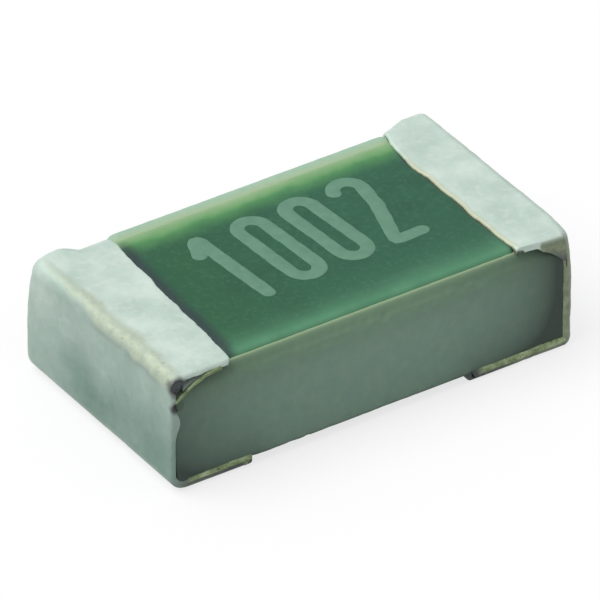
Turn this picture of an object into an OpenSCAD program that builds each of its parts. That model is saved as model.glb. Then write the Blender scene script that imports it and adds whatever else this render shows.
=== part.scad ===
/* [Ceramic] */
// Length of the ceramic between its two snapped ends
ceramic_l = 2.05; // [1.8:0.01:2.3]
// Width of the ceramic between its two long sides
ceramic_w = 1.18; // [1.05:0.01:1.4]
// Thickness of the ceramic
ceramic_t = 0.512; // [0.4:0.002:0.62]
// Width of the bevel that the scribe line leaves along each top long edge
side_scribe_w = 0.048; // [0.03:0.002:0.06]
// Depth of the bevel along each top long edge
side_scribe_h = 0.055; // [0.03:0.005:0.08]
// Width of the bevel along each top end edge
end_scribe_w = 0.04; // [0.03:0.002:0.05]
// Depth of the bevel along each top end edge
end_scribe_h = 0.05; // [0.03:0.005:0.08]
// Bevel of the four upright corners of the ceramic
corner_bevel = 0.018; // [0.01:0.002:0.024]

/* [Printed layers] */
// Shift of everything printed on top, along the length
top_shift_x = 0.038; // [-0.06:0.002:0.06]
// Shift of everything printed on top, across the width
top_shift_y = -0.033; // [-0.034:0.002:0.034]
// Shift of the two printed pads below, along the length
bottom_shift_x = -0.068; // [-0.08:0.002:0.08]
// Thickness of the printed contacts on top
top_contact_t = 0.008; // [0.006:0.001:0.012]
// Width of the printed contacts on top
top_contact_w = 0.90; // [0.82:0.01:0.94]
// Thickness of the printed pads below
bottom_contact_t = 0.019; // [0.01:0.001:0.024]
// How far the contacts run in under the coat
contact_under_coat = 0.16; // [0.14:0.01:0.22]
// Thickness of the resistive film
film_t = 0.008; // [0.005:0.001:0.01]
// Width of the resistive film
film_w = 0.72; // [0.5:0.01:0.8]
// How far the film climbs onto each contact
film_on_contact = 0.07; // [0.04:0.01:0.08]
// Length of the ramp where the film climbs onto a contact
film_ramp = 0.02; // [0.01:0.002:0.04]
// Thickness of the glass over the film
glass_t = 0.006; // [0.004:0.001:0.008]
// How far the glass reaches past the film all round
glass_margin = 0.03; // [0.02:0.002:0.036]

/* [Laser trim] */
// Width of the cut that the laser leaves
kerf = 0.035; // [0.02:0.001:0.06]
// Place of the cut along the film, from its middle
trim_x = -0.16; // [-0.3:0.01:0.1]
// How far the cut runs into the film
trim_depth = 0.40; // [0.2:0.01:0.45]
// Length of the cut after it turns along the film
trim_leg = 0.30; // [0.1:0.01:0.36]

/* [Protective coat] */
// Length of the coat, from cap to cap
coat_l = 1.476; // [1.3:0.01:1.5]
// Width of the coat
coat_w = 1.012; // [0.98:0.002:1.014]
// Height of the coat over the ceramic
coat_t = 0.03; // [0.028:0.001:0.033]
// Height of the coat at its ends, where the caps meet it
coat_end_t = 0.022; // [0.016:0.001:0.026]
// Height of the coat at its long edges
coat_side_t = 0.005; // [0.003:0.001:0.01]
// Length over which the coat falls towards its ends
coat_end_fall = 0.05; // [0.03:0.01:0.1]
// Width over which the coat falls towards its long edges
coat_side_fall = 0.09; // [0.05:0.01:0.11]
// Slant of the coat's two ends across the width, in degrees
coat_slant = 3.5; // [0:0.5:5]
// Waviness of the coat's two ends
coat_wave = 0.011; // [0:0.001:0.014]

/* [Caps] */
// Thickness of the silver on the ends, which wraps over the contacts
end_contact_t = 0.006; // [0.004:0.001:0.008]
// Thickness of the nickel plating
nickel_t = 0.007; // [0.004:0.001:0.009]
// Thickness of the tin plating
tin_t = 0.012; // [0.006:0.001:0.014]
// Free length of ceramic between the two feet
foot_gap = 1.15; // [0.9:0.01:1.3]
// How far the caps stay inside the long sides of the ceramic
cap_side_in = 0.004; // [0.002:0.001:0.008]
// Rounding of the caps along the top end edges
cap_end_top_r = 0.06; // [0.056:0.001:0.075]
// Rounding of the caps along the bottom end edges
cap_end_bottom_r = 0.05; // [0.044:0.001:0.06]
// Rounding of the caps along the top long edges
cap_side_top_r = 0.06; // [0.05:0.001:0.075]
// Rounding of the feet along the bottom long edges
cap_side_bottom_r = 0.036; // [0.032:0.001:0.05]
// Rounding of the caps along the upright edges
cap_upright_r = 0.05; // [0.04:0.001:0.055]
// Rounding of the feet at their inner ends
foot_inner_r = 0.034; // [0.032:0.001:0.04]

/* [Chipped corner] */
// Radius of each hollow broken out of the left front top corner
chip_r = 0.055; // [0.03:0.005:0.08]
// How far the middle of a hollow lies outside the corner's two faces
chip_out = 0.004; // [-0.01:0.002:0.01]
// Depth of the upper hollow below the cap's top
chip_upper_z = 0.02; // [0:0.005:0.04]
// Depth of the lower hollow below the cap's top
chip_lower_z = 0.115; // [0.1:0.005:0.16]

/* [Hidden] */
$fn = 48;

LEFT = -1;
RIGHT = 1;

// How deep each layer of a cap lies under the cap's outside
under_tin = tin_t;
under_nickel = under_tin + nickel_t;
under_silver = under_nickel + end_contact_t;

// Overall sizes, and the two faces of the ceramic
cap_l = ceramic_l + 2 * under_silver;
cap_w = ceramic_w - 2 * cap_side_in;
ceramic_bottom_z = under_silver + bottom_contact_t;
ceramic_top_z = ceramic_bottom_z + ceramic_t;
ceramic_mid_z = ceramic_bottom_z + ceramic_t / 2;
cap_h = ceramic_top_z + top_contact_t + under_silver;

// Reach of the contacts, the film and the glass, from the middle of the top print
contact_inner = coat_l / 2 - contact_under_coat;
film_reach = contact_inner + film_on_contact;
glass_reach = film_reach + glass_margin;
glass_w = film_w + 2 * glass_margin;

// The coat's wavy ends: steps across the width, and two waves of different length
wave_steps = 26;
wave_long = 0.62;
wave_short = 0.23;
wave_share = 0.35;

// More than the largest size, for cutting shapes
beyond = 3 * cap_l;

function wave(y, phase) = coat_wave * (
    (1 - wave_share) * sin(360 * y / wave_long + phase) + wave_share * sin(360 * y / wave_short - 2 * phase));
function coat_end_x(side, y) = side * coat_l / 2 + y * tan(coat_slant) + wave(y, side * 70);
function foot_inner_x(side) = side * foot_gap / 2 + bottom_shift_x;

// One corner to cut from a flat shape, at the origin, to leave a rounding
module corner_cut(r) {
    difference() {
        translate([-r, -r]) square(2 * r);
        translate([r, r]) circle(r);
    }
}

// Rectangle centred across, standing on the first axis, with its own rounding below and above
module rounded_rect(w, h, r_low, r_high) {
    difference() {
        translate([-w / 2, 0]) square([w, h]);
        for (s = [0, 1]) {
            mirror([s, 0]) translate([-w / 2, 0]) corner_cut(r_low);
            mirror([s, 0]) translate([-w / 2, h]) mirror([0, 1]) corner_cut(r_high);
        }
    }
}

// A flat shape drawn in length and height, given its width
module along_width(w) {
    rotate([90, 0, 0]) linear_extrude(height = w, center = true) children();
}

// A flat shape drawn in width and height, given its length
module along_length(l) {
    rotate([90, 0, 90]) linear_extrude(height = l, center = true) children();
}

// Outline of the ceramic from one side: a plain base and two bevelled top corners
module scribed_outline(w, scribe_w, scribe_h) {
    polygon([
        [-w / 2, 0], [w / 2, 0], [w / 2, ceramic_t - scribe_h], [w / 2 - scribe_w, ceramic_t],
        [-w / 2 + scribe_w, ceramic_t], [-w / 2, ceramic_t - scribe_h]
    ]);
}

module ceramic_plan() {
    x = ceramic_l / 2;
    y = ceramic_w / 2;
    c = corner_bevel;
    polygon([
        [-x + c, -y], [x - c, -y], [x, -y + c], [x, y - c],
        [x - c, y], [-x + c, y], [-x, y - c], [-x, -y + c]
    ]);
}

module ceramic_blank() {
    translate([0, 0, ceramic_bottom_z]) intersection() {
        along_width(beyond) scribed_outline(ceramic_l, end_scribe_w, end_scribe_h);
        along_length(beyond) scribed_outline(ceramic_w, side_scribe_w, side_scribe_h);
        linear_extrude(height = ceramic_t) ceramic_plan();
    }
}

// Two hollows broken out of the left front top corner of the cap
module corner_chips() {
    for (depth = [chip_upper_z, chip_lower_z])
        translate([-cap_l / 2 - chip_out, -cap_w / 2 - chip_out, cap_h - depth]) sphere(chip_r);
}

module chipped(side) {
    if (side == LEFT) {
        difference() {
            children();
            corner_chips();
        }
    } else {
        children();
    }
}

// The outside of one layer of the caps as a full brick, each layer inside the next
module cap_brick(inset) {
    h = cap_h - 2 * inset;
    intersection() {
        translate([0, 0, inset]) along_width(beyond)
            rounded_rect(cap_l - 2 * inset, h, cap_end_bottom_r - inset, cap_end_top_r - inset);
        translate([0, 0, inset]) along_length(beyond)
            rounded_rect(cap_w - 2 * inset, h, cap_side_bottom_r - inset, cap_side_top_r - inset);
        translate([0, -cap_w / 2 + inset, 0]) linear_extrude(height = cap_h)
            rounded_rect(cap_l - 2 * inset, cap_w - 2 * inset, cap_upright_r - inset, cap_upright_r - inset);
    }
}

// The space that a foot fills in length and height, with a rounded inner end
module foot_reach(side, inset) {
    mirror([side == LEFT ? 1 : 0, 0, 0]) translate([side * foot_inner_x(side) + inset, 0, inset]) along_width(beyond)
        difference() {
            square([cap_l, ceramic_mid_z]);
            corner_cut(foot_inner_r - inset);
        }
}

// The space over the ceramic from a place along its length to the end of the chip
module top_reach(side, inner_x) {
    mirror([side == LEFT ? 1 : 0, 0, 0])
        translate([side * inner_x, -beyond / 2, ceramic_mid_z]) cube([cap_l, beyond, cap_h]);
}

// The coat's two slanted wavy ends from above, drawn over the whole width of the ceramic
module coat_ends() {
    step = ceramic_w / wave_steps;
    across = [for (i = [0 : wave_steps]) -ceramic_w / 2 + i * step - top_shift_y];
    polygon(concat(
        [for (y = across) [coat_end_x(RIGHT, y), y]],
        [for (i = [wave_steps : -1 : 0]) [coat_end_x(LEFT, across[i]), across[i]]]
    ));
}

// The coat's outline from above: its wavy ends between two straight long edges
module coat_plan() {
    intersection() {
        coat_ends();
        square([beyond, coat_w], center = true);
    }
}

// What the top legs of the caps stop at
module coat_stop() {
    top_print() linear_extrude(height = ceramic_t, center = true) coat_ends();
}

// Puts a printed shape on the ceramic's top
module top_print() {
    translate([top_shift_x, top_shift_y, ceramic_top_z]) children();
}

// A band that lies on the ceramic and climbs a ramp onto both contacts
module climbing_band(reach, rise, w) {
    foot = contact_inner - film_ramp;
    high = top_contact_t + rise;
    along_width(w) polygon([
        [-reach, 0], [reach, 0], [reach, high], [contact_inner, high], [foot, rise],
        [-foot, rise], [-contact_inner, high], [-reach, high]
    ]);
}

// The laser's cut: in from the front edge, then a turn along the film, with round ends
module trim_cut() {
    start_y = -glass_w / 2 - kerf;
    turn_y = -film_w / 2 + trim_depth;
    translate([trim_x, 0, 0]) linear_extrude(height = coat_t) {
        translate([-kerf / 2, start_y]) square([kerf, turn_y - start_y]);
        translate([0, turn_y - kerf / 2]) square([trim_leg, kerf]);
        for (x = [0, trim_leg]) translate([x, turn_y]) circle(kerf / 2);
    }
}

// Slumped section of the coat: flat in the middle, falling in an arc to each edge
module slumped_section(w, edge_t, fall) {
    drop = coat_t - edge_t;
    r = (fall * fall + drop * drop) / (2 * drop);
    intersection() {
        translate([-w / 2, 0]) square([w, coat_t]);
        union() {
            translate([-w / 2 + fall, 0]) square([w - 2 * fall, coat_t]);
            for (s = [-1, 1]) translate([s * (w / 2 - fall), coat_t - r]) circle(r);
        }
    }
}

module ceramic_substrate() {
    color("gainsboro") chipped(LEFT) ceramic_blank();
}

module bottom_contact(side) {
    color("silver") difference() {
        intersection() {
            cap_brick(under_silver);
            foot_reach(side, under_silver);
        }
        ceramic_blank();
    }
}

module top_contact_blank(side) {
    difference() {
        intersection() {
            cap_brick(under_silver);
            top_reach(side, side * contact_inner + top_shift_x);
            translate([0, top_shift_y, cap_h / 2]) cube([beyond, top_contact_w, cap_h], center = true);
        }
        ceramic_blank();
    }
}

module top_contact(side) {
    color("silver") chipped(side) top_contact_blank(side);
}

module film_blank() {
    difference() {
        top_print() climbing_band(film_reach, film_t, film_w);
        for (side = [LEFT, RIGHT]) top_contact_blank(side);
    }
}

module resistive_film() {
    color("dimgray") difference() {
        film_blank();
        top_print() trim_cut();
    }
}

module glass_layer() {
    color("palegreen") difference() {
        top_print() climbing_band(glass_reach, film_t + glass_t, glass_w);
        for (side = [LEFT, RIGHT]) top_contact_blank(side);
        film_blank();
        top_print() trim_cut();
    }
}

module protective_coat() {
    color("seagreen") difference() {
        top_print() intersection() {
            linear_extrude(height = coat_t) coat_plan();
            along_length(beyond) slumped_section(coat_w, coat_side_t, coat_side_fall);
            rotate(-coat_slant) along_width(beyond)
                slumped_section(coat_l * cos(coat_slant), coat_end_t, coat_end_fall);
        }
        for (side = [LEFT, RIGHT]) top_contact_blank(side);
        resistive_film();
        glass_layer();
    }
}

// The outside of one layer of a cap: its foot, its end and its top leg up to the coat
module cap_layer(side, inset) {
    difference() {
        intersection() {
            cap_brick(inset);
            union() {
                foot_reach(side, inset);
                top_reach(side, side * contact_inner + top_shift_x);
            }
        }
        coat_stop();
        ceramic_blank();
    }
}

module end_contact(side) {
    color("lightgray") chipped(side) difference() {
        cap_layer(side, under_nickel);
        bottom_contact(side);
        top_contact_blank(side);
    }
}

module nickel_layer(side) {
    color("darkkhaki") chipped(side) difference() {
        cap_layer(side, under_tin);
        cap_layer(side, under_nickel);
    }
}

module tin_cap(side) {
    color("honeydew") chipped(side) difference() {
        cap_layer(side, 0);
        cap_layer(side, under_tin);
    }
}

ceramic_substrate();
bottom_contact(LEFT);  // bottom_contact_left
bottom_contact(RIGHT);  // bottom_contact_right
top_contact(LEFT);  // top_contact_left
top_contact(RIGHT);  // top_contact_right
resistive_film();
glass_layer();
protective_coat();
end_contact(LEFT);  // end_contact_left
end_contact(RIGHT);  // end_contact_right
nickel_layer(LEFT);  // nickel_layer_left
nickel_layer(RIGHT);  // nickel_layer_right
tin_cap(LEFT);  // tin_cap_left
tin_cap(RIGHT);  // tin_cap_right
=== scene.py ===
import math

import bmesh
import bpy
import numpy as np
from mathutils import Matrix, Vector


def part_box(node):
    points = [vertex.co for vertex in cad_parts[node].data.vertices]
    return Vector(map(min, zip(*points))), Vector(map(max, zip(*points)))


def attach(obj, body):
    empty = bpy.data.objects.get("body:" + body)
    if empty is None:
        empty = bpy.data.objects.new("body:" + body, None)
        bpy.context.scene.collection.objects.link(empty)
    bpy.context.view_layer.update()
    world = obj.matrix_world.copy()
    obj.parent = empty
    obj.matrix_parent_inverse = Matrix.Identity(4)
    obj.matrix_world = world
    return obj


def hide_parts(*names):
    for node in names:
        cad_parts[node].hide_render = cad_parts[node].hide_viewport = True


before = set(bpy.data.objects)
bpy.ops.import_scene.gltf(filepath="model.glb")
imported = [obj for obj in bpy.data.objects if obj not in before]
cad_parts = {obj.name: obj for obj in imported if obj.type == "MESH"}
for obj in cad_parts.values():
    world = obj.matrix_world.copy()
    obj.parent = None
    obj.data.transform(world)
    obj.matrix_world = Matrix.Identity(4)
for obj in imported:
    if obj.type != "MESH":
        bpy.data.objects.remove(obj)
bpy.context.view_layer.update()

# All sizes are in millimetres, turned to metres when a mesh is made
MM = 0.001
QUARTER = math.pi / 2
LEFT, RIGHT = -1, 1
NEAR, FAR = -1, 1
SIDE_NAMES = {LEFT: "left", RIGHT: "right"}


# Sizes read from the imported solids
def box_mm(node):
    low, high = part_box(node)
    return np.array(low) / MM, np.array(high) / MM


ceramic_low, ceramic_high = box_mm("ceramic_substrate")
coat_low, coat_high = box_mm("protective_coat")
cap_boxes = {side: box_mm("tin_cap_" + SIDE_NAMES[side]) for side in (LEFT, RIGHT)}
cap_end = cap_boxes[RIGHT][1][0]
cap_top = cap_boxes[RIGHT][1][2]
cap_half_w = cap_boxes[RIGHT][1][1]
# The plating creeps a little further in than the solid foot
FOOT_CREEP = 0.018
foot_inner = {LEFT: -cap_boxes[LEFT][1][0] - FOOT_CREEP, RIGHT: cap_boxes[RIGHT][0][0] - FOOT_CREEP}
ceramic_bottom, ceramic_top = ceramic_low[2], ceramic_high[2]
ceramic_half_w = ceramic_high[1]

# The scribe bevels of the ceramic and the thickness of the layers, as in the solids
SCRIBE_W, SCRIBE_H = 0.048, 0.055
END_SCRIBE_W, END_SCRIBE_H, CORNER_BEVEL = 0.04, 0.05, 0.018
TIN_T, NICKEL_T, SILVER_T = 0.012, 0.007, 0.006
PLATING_T = TIN_T + NICKEL_T + SILVER_T
CONTACT_T, FILM_T, GLASS_T = 0.008, 0.008, 0.006
CONTACT_INNER, GLASS_REACH, GLASS_HALF_W, CONTACT_HALF_W = 0.578, 0.678, 0.39, 0.45

# The printed coat: place, thickness and how it thins out at its edges
PRINT_X, PRINT_Y = 0.038, -0.033
COAT_T, COAT_END_T, COAT_SIDE_T = 0.030, 0.022, 0.002
COAT_END_FALL, COAT_SIDE_FALL = 0.05, 0.09
# Each border with its cap: place along the middle, slant, height of its waves, bend at the far end
BORDERS = {LEFT: (-0.699, 0.065, 0.003, 0.12), RIGHT: (0.748, 0.0, 0.006, 0.55)}
WAVE_LONG, WAVE_SHORT, WAVE_SHARE, WAVE_TURN, BEND_FROM = 0.62, 0.23, 0.35, 70, 0.25

# The photograph's camera: a long lens, left of the front and above
CAMERA_AZIMUTH, CAMERA_ELEVATION = 33.69, 34.01
CAMERA_LENS, SENSOR, IMAGE_PX = 720.0, 36.0, 600
PX_PER_MM = 229.25
ORIGIN_PX = (299.4, 354.3)
CLIP_NEAR, CLIP_FAR = 1.0, 1000.0


def to_linear(hex_colour):
    parts = [int(hex_colour[i:i + 2], 16) / 255 for i in (1, 3, 5)]
    return [p / 12.92 if p <= 0.04045 else ((p + 0.055) / 1.055) ** 2.4 for p in parts] + [1.0]


# Adds a node with its settings. An input that is a socket, or a node for its first output, is linked
def add(tree, kind, inputs=None, **settings):
    node = tree.nodes.new(kind)
    for name, value in settings.items():
        setattr(node, name, value)
    for key, value in (inputs or {}).items():
        if isinstance(value, bpy.types.Node):
            value = value.outputs[0]
        if isinstance(value, bpy.types.NodeSocket):
            tree.links.new(value, node.inputs[key])
        else:
            node.inputs[key].default_value = value
    return node


# Smooth noise from -1 to 1 on a random lattice with cells of one grain
LATTICE, LATTICE_KEYS, LATTICE_SHIFT = 4096, (73856093, 19349663, 83492791), 1000.0


def cloud(points, grain, seed):
    table = np.random.RandomState(seed).uniform(-1, 1, LATTICE)
    q = np.asarray(points) / grain + LATTICE_SHIFT
    cell = np.floor(q).astype(np.int64)
    f = q - cell
    f = f * f * (3 - 2 * f)
    total = np.zeros(q.shape[:-1])
    for corner in np.ndindex(2, 2, 2):
        place = (cell + np.array(corner)) * np.array(LATTICE_KEYS)
        key = place[..., 0] ^ place[..., 1] ^ place[..., 2]
        weight = np.prod(np.where(np.array(corner) == 1, f, 1 - f), axis=-1)
        total += weight * table[key % LATTICE]
    return total


# Several such noises together, each with its height and its grain
def rough(points, layers, seed):
    return sum(height * cloud(points, grain, seed + i) for i, (height, grain) in enumerate(layers))


# One seed for each noise, so that every run draws the same
SEED = {"border": 11, "lap": 15, "lumps": 21, "front": 24, "welt": 31, "welt_lumps": 33, "hollow": 34,
        "end_shade": 35, "grain": 41, "scribe": 43, "nicks": 44, "coat": 51, "coat_edge": 53}


# Shapes of a change: held from 0 to 1, a soft step from a to b, a hump, a fading, a way between two values
def unit(x):
    return np.clip(x, 0, 1)


def smooth(a, b, x):
    t = unit((x - a) / (b - a))
    return t * t * (3 - 2 * t)


def bump(x, middle, spread):
    return np.exp(-((x - middle) / spread) ** 2)


def fading(distance, reach):
    return np.exp(-distance / reach)


def between(ends, share):
    return ends[0] + (ends[1] - ends[0]) * share


# Where the coat ends and a cap begins, at a place across the width
def coat_end(side, y):
    v = y - PRINT_Y
    middle, slant, wave, bend = BORDERS[side]
    phase = math.radians(side * WAVE_TURN)
    waves = ((1 - WAVE_SHARE) * np.sin(2 * math.pi * v / WAVE_LONG + phase)
             + WAVE_SHARE * np.sin(2 * math.pi * v / WAVE_SHORT - 2 * phase))
    return middle + v * slant + wave * waves + bend * np.clip(v - BEND_FROM, 0, None) ** 2


# Points from their parts along the three axes
def xyz(*parts):
    return np.stack(np.broadcast_arrays(*parts), -1)


def new_object(name, data):
    piece = bpy.data.objects.new(name, data)
    bpy.context.scene.collection.objects.link(piece)
    return piece


# A mesh object from points in millimetres, with its vertex attributes and smooth faces
def make_object(name, points, faces, attributes=None, recalculate=True):
    mesh = bpy.data.meshes.new(name)
    mesh.from_pydata((np.asarray(points) * MM).tolist(), [], faces)
    mesh.validate()
    if recalculate:
        shape = bmesh.new()
        shape.from_mesh(mesh)
        bmesh.ops.recalc_face_normals(shape, faces=shape.faces)
        shape.to_mesh(mesh)
        shape.free()
    mesh.shade_smooth()
    for key, values in (attributes or {}).items():
        layer = mesh.attributes.new(key, "FLOAT", "POINT")
        layer.data.foreach_set("value", np.asarray(values, dtype=np.float32).ravel())
    return new_object(name, mesh)


def grid_faces(index):
    corners = (index[:-1, :-1], index[1:, :-1], index[1:, 1:], index[:-1, 1:])
    return np.stack(corners, -1).reshape(-1, 4).tolist()


# A closed skin from an outer and an inner grid of the same shape, joined round their rims
def closed_skin(name, outer, inner, attributes):
    rows, columns = outer.shape[:2]
    count = rows * columns
    index = np.arange(count).reshape(rows, columns)
    rim = np.concatenate([index[0, :-1], index[:-1, -1], index[-1, :0:-1], index[:0:-1, 0]])
    after = np.roll(rim, -1)
    faces = grid_faces(index)
    faces += [face[::-1] for face in grid_faces(index + count)]
    faces += np.stack([rim, rim + count, after + count, after], -1).tolist()
    points = np.concatenate([outer.reshape(-1, 3), inner.reshape(-1, 3)])
    doubled = {key: np.concatenate([v.ravel(), v.ravel()]) for key, v in attributes.items()}
    return make_object(name, points, faces, doubled)


# Plating of one cap: a C-shaped path over the top, down the end and under the foot
END_TOP_R = {LEFT: 0.06, RIGHT: 0.046}
END_BOTTOM_R = {LEFT: 0.085, RIGHT: 0.05}
FOOT_INNER_R = 0.016
CAP_STEPS = {"top": 52, "top_arc": 22, "end": 70, "low_arc": 16, "foot": 60, "inner_arc": 10, "inner": 3}
ACROSS_STEPS, ROUND_STEPS, FACE_STEPS = 108, 13, 8
# The layers of a cap: piece, material, node it replaces, upper and lower face as depths in the plating
LAYERS = (("tin_plating", "tin", "tin_cap", 0.0, TIN_T),
          ("nickel_plating", "nickel", "nickel_layer", TIN_T, TIN_T + NICKEL_T),
          ("end_silver", "silver", "end_contact", TIN_T + NICKEL_T, PLATING_T))
HIDDEN_STRIDE = 4

# Long edges of a cap on its top, end and foot: rounding, side face after it, how far it stands out
EDGES = {
    (LEFT, NEAR): ((0.022, 0.030, 0.000), (0.014, 0.005, 0.006), (0.032, 0.022, 0.008)),
    (LEFT, FAR): ((0.076, 0.004, 0.000), (0.045, 0.004, 0.000), (0.036, 0.008, 0.000)),
    (RIGHT, NEAR): ((0.030, 0.004, 0.010), (0.055, 0.004, 0.008), (0.022, 0.027, 0.009)),
    (RIGHT, FAR): ((0.046, 0.004, 0.000), (0.055, 0.004, 0.000), (0.036, 0.008, 0.000)),
}
ON_TOP, ON_END = 0, 1
# The far rounding grows towards the coat and up the end; the near one grows at the top corner
FAR_BORDER_R, FAR_GROWS_FROM = {LEFT: 0.162, RIGHT: 0.115}, 0.22
FAR_BORDER_LEG = {LEFT: (0.40, 0.72), RIGHT: (0.0, 0.60)}
# How far the tin laps down over the far side of the ceramic, and how that edge waves
FAR_LAP, FAR_LAP_WAVE = {LEFT: 0.175, RIGHT: 0.130}, ((0.016, 0.12), (0.006, 0.04))
NEAR_CORNER_R, NEAR_CORNER_REACH = {LEFT: 0.022, RIGHT: 0.07}, 0.07
# Corners worn blunt: which, how deep and how far the wear reaches
BLUNT = (((RIGHT, NEAR), 0.018, 0.11), ((LEFT, FAR), 0.024, 0.10))
# How far the border draws back where it goes over the near long edge, and the rounding of its rim
BORDER_BACK = {LEFT: 0.014, RIGHT: 0.040}
LIP_R, LIP_SHARE = 0.010, 0.8
BORDERS_APART, FAR_FROM_BORDER = 3.0, 1.0
# The right front lip is drawn in at the border, where a pale highlight is painted along it: its width, its
# far and near end
LIP_IN, LIP_IN_REACH = 0.028, 0.10
BORDER_HIGHLIGHT_WIDE, BORDER_HIGHLIGHT_FAR, BORDER_HIGHLIGHT_NEAR = 0.028, (0.40, 0.20), (-0.575, -0.52)
# How much of an end rounding a skin may use up before it is held back, and how softly
NO_CURL, CURL_FREE, CURL_SOFT = 1.0, 0.8, 0.2

# Heights and grains: the ragged border, the lumps of the grown metal, more of them in front
RAGGED = ((0.003, 0.06), (0.002, 0.018))
LUMPS = ((0.0028, 0.16), (0.0012, 0.05), (0.0006, 0.017))
FRONT_LUMPS = ((0.0022, 0.03), (0.0012, 0.012))
FOOT_FLAT, FRONT_LEAST = 0.6, -0.001
# Least height of a skin over the floor, as a share of its depth
FLOOR_SHARE = 0.9
# Shade under the ledges of the feet: along them, at their inner ends, and its reach there
FOOT_SHADE = {LEFT: (0.70, 0.95), RIGHT: (0.40, 0.95)}
INNER_REACH, INNER_FACING, INNER_ACROSS = (0.3, 0.1), (0.2, 0.7), (0.45, 0.2)
# The painted highlight on the ledge of a foot: from its edge down, from the cap's end and from the foot's
# inner end
LEDGE_DROP, LEDGE_FROM_INNER = (0.05, 0.30), (0.01, 0.10)
LEDGE_FROM_END = {LEFT: (0.03, 0.14), RIGHT: (0.015, 0.05)}
# Painted shade in the low front corner of the left cap: up, along and across, and how dark
LOW_CORNER_UP, LOW_CORNER_ALONG, LOW_CORNER_ACROSS = (0.09, 0.02), (0.16, 0.06), (-0.545, -0.575)
LOW_CORNER_SHADE = 0.6
# Painted shade low on the ends: strength high up and low down, far and near, with an uneven line between
END_SHADE_HIGH_LOW, END_SHADE_UP, END_SHADE_UNEVEN, END_SHADE_GRAIN = (0.55, 1.0), (0.48, 0.16), 0.05, 0.12
END_SHADE_FAR_NEAR, END_SHADE_ACROSS = (0.5, 1.0), (0.5, 0.1)

# Left front corner: hollows broken out of it as along, up, half length and half height
HOLLOWS = ((1.018, 0.546, 0.046, 0.034), (1.022, 0.443, 0.033, 0.024))
HOLLOW_OUT, HOLLOW_RAGGED, HOLLOW_GRAIN, HOLLOW_SOFT = 0.022, 0.15, 0.020, (1.9, 0.8)
HOLLOW_LEAST, HOLLOW_GROWS, HOLLOW_ROOM, HOLLOW_SHADE = 0.05, 0.4, 0.010, 0.95
# A torn edge of the plating rises from them, with a groove over it that has painted shade in it
TORN_START, TORN_STOP, TORN_HIGH, TORN_FALL, TORN_PAST = 1.026, 0.800, 0.566, 0.094, 1.1
GROOVE_DEPTH, GROOVE_GROWS, GROOVE_SPAN, GROOVE_PAINTED_SHADE, LEAST_FACE = 0.020, 0.1, 0.9, 0.85, 0.003
FLAKE_Z, FLAKE_H, FLAKE_OUT = 0.360, 0.055, 0.024
# Right front corner: from here on the tin is worn off, on a lip that hangs lower towards the end
WORN_FROM, WORN_FULL, WORN_LIP, WORN_DROP = 0.855, 0.985, 0.018, 0.078
WORN_LIP_GROWS, WORN_SOFT = 0.25, 0.2
# Painted shade under the lip: how far down and past the wear it reaches, and how dark
LIP_SHADE_DROP, LIP_SHADE_PAST, LIP_SHADE_DARKNESS = (0.35, 0.9), (0.4, 0.9), 0.75

# A welt of end silver under the tin along the left top end edge: place, width and strength, far and near,
# with the stretch across over which each changes
WELT_AT, WELT_AT_ACROSS = (0.02, 0.50), (0.45, -0.45)
WELT_WIDE, WELT_WIDE_ACROSS = (0.30, 0.52), (0.45, -0.30)
WELT_STRONG, WELT_STRONG_ACROSS, WELT_STARTS = (0.30, 1.0), (0.52, 0.0), (0.58, 0.45)
WELT_HIGH, WELT_LUMPS, WELT_GRAIN = 0.003, 0.0015, 0.05
WELT_WANDER = ((0.12, 0.22), (0.13, 0.075))
# A soft crease below the welt with painted shade in it, and where across it comes and goes
CREASE_BELOW, CREASE_WIDE, CREASE_DEEP, CREASE_SHADE = 0.62, 0.20, 0.003, 0.16
CREASE_FAR, CREASE_NEAR = (0.45, 0.10), (-0.55, -0.40)
OFF_THE_EDGE = 9.0


def torn_edge_z(along):
    share = np.clip((along - TORN_STOP) / (TORN_START - TORN_STOP), 0, TORN_PAST)
    return TORN_HIGH - TORN_FALL * share ** 2


# Rows of the path: share of the top leg, place along and up, outward direction, share of top, end, foot
def cap_path(side):
    high, low = END_TOP_R[side], END_BOTTOM_R[side]
    inner, r = foot_inner[side], FOOT_INNER_R
    legs = {
        "top": lambda t, s, c: (t, cap_end - high, cap_top, 0, 1, 1, 0, 0),
        "top_arc": lambda t, s, c: (1, cap_end - high * (1 - s), cap_top - high * (1 - c), s, c, 1 - t, t, 0),
        "end": lambda t, s, c: (1, cap_end, cap_top - high + t * (low + high - cap_top), 1, 0, 0, 1, 0),
        "low_arc": lambda t, s, c: (1, cap_end - low * (1 - c), low * (1 - s), c, -s, 0, 1 - t, t),
        "foot": lambda t, s, c: (1, cap_end - low + t * (inner + r + low - cap_end), 0, 0, -1, 0, 0, 1),
        "inner_arc": lambda t, s, c: (1, inner + r * (1 - s), r * (1 - c), -s, -c, 0, 0, 1),
        "inner": lambda t, s, c: (1, inner, r + t * (ceramic_bottom - r), -1, 0, 0, 0, 1),
    }
    rows = []
    for name, row in legs.items():
        for t in np.linspace(0, 1, CAP_STEPS[name], endpoint=name == "inner"):
            rows.append(row(t, math.sin(t * QUARTER), math.cos(t * QUARTER)))
    return np.array(rows, dtype=float)


# Places across the width: signed share of the flat part, turn round the long edge, share of the side face
def across_stations():
    turn = np.linspace(0, QUARTER, ROUND_STEPS + 1)[1:]
    face = np.linspace(0, 1, FACE_STEPS + 1)[1:]
    edge = [(1, t, 0) for t in turn] + [(1, QUARTER, s) for s in face]
    flat = [(f, 0, 0) for f in np.linspace(-1, 1, ACROSS_STEPS)]
    return np.array([(-f, t, s) for f, t, s in edge[::-1]] + flat + edge, dtype=float)


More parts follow.
